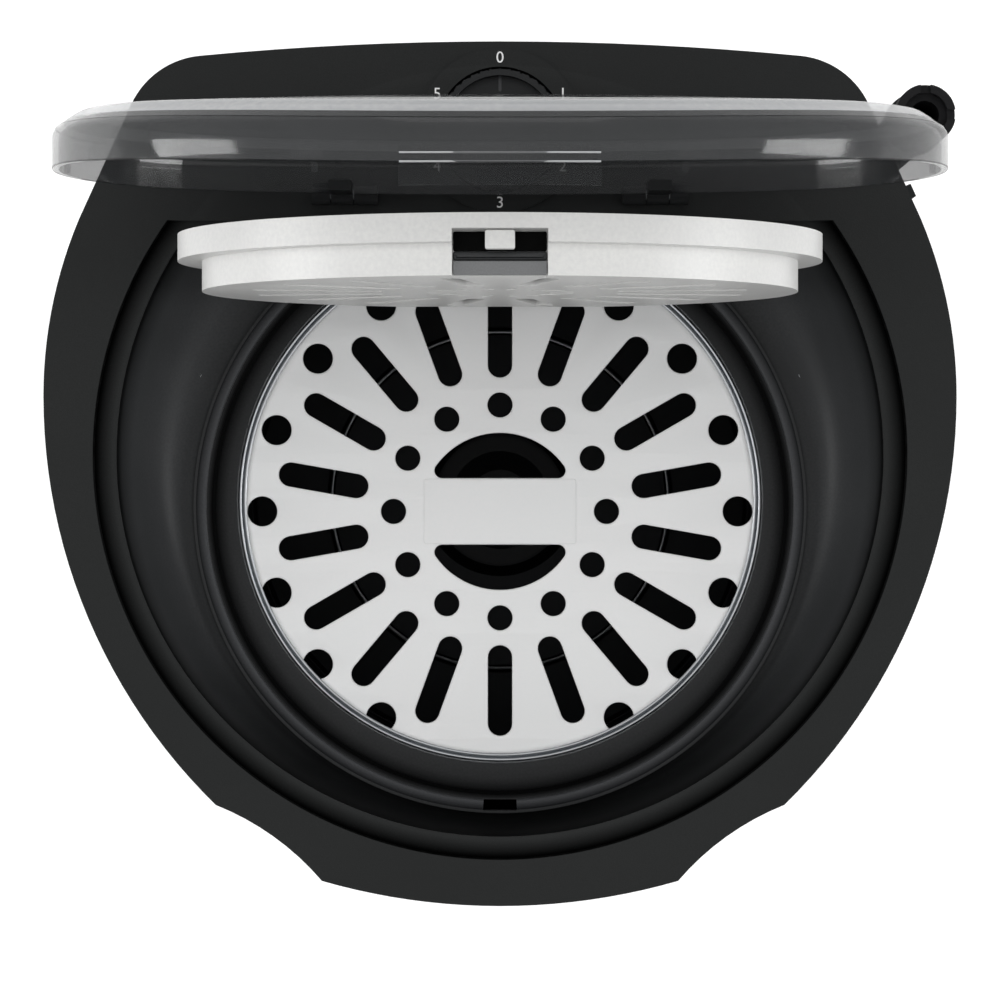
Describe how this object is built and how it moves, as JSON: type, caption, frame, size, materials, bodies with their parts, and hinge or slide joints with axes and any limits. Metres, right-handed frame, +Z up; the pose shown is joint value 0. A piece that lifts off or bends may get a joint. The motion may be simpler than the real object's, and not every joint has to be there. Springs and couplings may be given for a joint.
{
  "type": "laundry spin dryer",
  "caption": "Upright top-loading spin dryer with a smoked outer lid and a white vented inner lid standing open over a perforated basket and press disc, a timer dial and a ribbed drain hose",
  "frame": {"origin": "middle of the bounding box, on the floor", "axes": "+Z up; -Y to the front, where a person stands; +Y to the dial and hinges; +X to that person's right, the side of the drain hose"},
  "size_m": [0.4565, 0.4335, 0.9615],
  "materials": {
    "body_plastic": "fine texture",
    "dark_plastic": "satin",
    "black_rubber": "matt",
    "white_plastic": "satin",
    "grey_plastic": "satin",
    "clear_smoke": "smoked clear plastic",
    "bright_steel": "brushed",
    "cast_metal": "as cast",
    "zinc_steel": "zinc plated",
    "copper_wire": "enamelled wire"
  },
  "bodies": {
    "cabinet": {"base_pan": "dark_plastic", "feet": "black_rubber", "body_shell": "body_plastic", "rear_cover": "dark_plastic", "rear_screws": "bright_steel", "side_grips": "dark_plastic", "top_deck": "body_plastic", "deck_screws": "dark_plastic", "bowl": "dark_plastic", "bowl_rear_wall": "dark_plastic", "throat_ring": "dark_plastic", "ring_screws": "bright_steel", "tub": "dark_plastic", "tub_struts": "body_plastic", "bellows": "black_rubber", "motor_plate": "zinc_steel", "suspension_springs": "bright_steel", "spring_seats": "black_rubber", "spring_caps": "black_rubber", "motor_housing": "cast_metal", "motor_end_cap": "cast_metal", "stator": "zinc_steel", "windings": "copper_wire", "bearings": "bright_steel", "brake_band": "dark_plastic", "brake_cable": "black_rubber", "capacitor": "white_plastic", "terminal_box": "dark_plastic", "cord_gland": "black_rubber", "drain_pipe": "body_plastic", "drain_elbow": "dark_plastic", "drain_hose": "black_rubber", "hose_end": "dark_plastic", "hose_clip": "body_plastic", "dial_bezel": "dark_plastic", "timer_unit": "zinc_steel", "lid_switch": "dark_plastic", "lid_hinge_lugs": "dark_plastic", "lid_pins": "bright_steel", "inner_hinge_lugs": "dark_plastic", "inner_pins": "bright_steel"},
    "outer_lid": {"clear_lid": "clear_smoke", "lid_arms": "dark_plastic", "lid_bumpers": "black_rubber", "lid_lip": "clear_smoke"},
    "vented_lid": {"inner_lid": "white_plastic", "inner_lid_latch": "grey_plastic"},
    "spinner": {"basket_wall_sheet": "bright_steel", "basket_rim": "bright_steel", "basket_floor": "bright_steel", "basket_hub": "dark_plastic", "hub_nut": "bright_steel", "motor_shaft": "bright_steel", "rotor": "zinc_steel", "brake_drum": "cast_metal"},
    "disc": {"press_disc": "white_plastic"},
    "knob": {"timer_knob": "dark_plastic"},
    "brake": {"brake_lever": "zinc_steel"}
  },
  "joints": [
    {"name": "lid_hinge", "type": "hinge", "parent": "cabinet", "child": "outer_lid", "pos_m": [0, 0.139, 0.6255], "axis": [1, 0, 0], "range_deg": [0, 90]},
    {"name": "inner_lid_hinge", "type": "hinge", "parent": "cabinet", "child": "vented_lid", "pos_m": [0, 0.119, 0.566], "axis": [1, 0, 0], "range_deg": [0, 90]},
    {"name": "basket_spin", "type": "hinge", "parent": "cabinet", "child": "spinner", "pos_m": [0, -0.013, 0.3], "axis": [0, 0, 1], "continuous": true},
    {"name": "disc_slide", "type": "slide", "parent": "spinner", "child": "disc", "axis": [0, 0, -1], "range_m": [0, 0.22]},
    {"name": "timer_turn", "type": "hinge", "parent": "cabinet", "child": "knob", "pos_m": [0, 0.1715, 0.61], "axis": [0, 0, -1], "range_deg": [0, 300]},
    {"name": "brake_turn", "type": "hinge", "parent": "cabinet", "child": "brake", "pos_m": [0.064, -0.005, 0.157], "axis": [0, 0, 1], "range_deg": [0, 12]}
  ],
  "couplings": [
    {"joint": "inner_lid_hinge", "follows": "lid_hinge", "ratio": 1},
    {"joint": "brake_turn", "follows": "lid_hinge", "ratio": 0.13333}
  ]
}
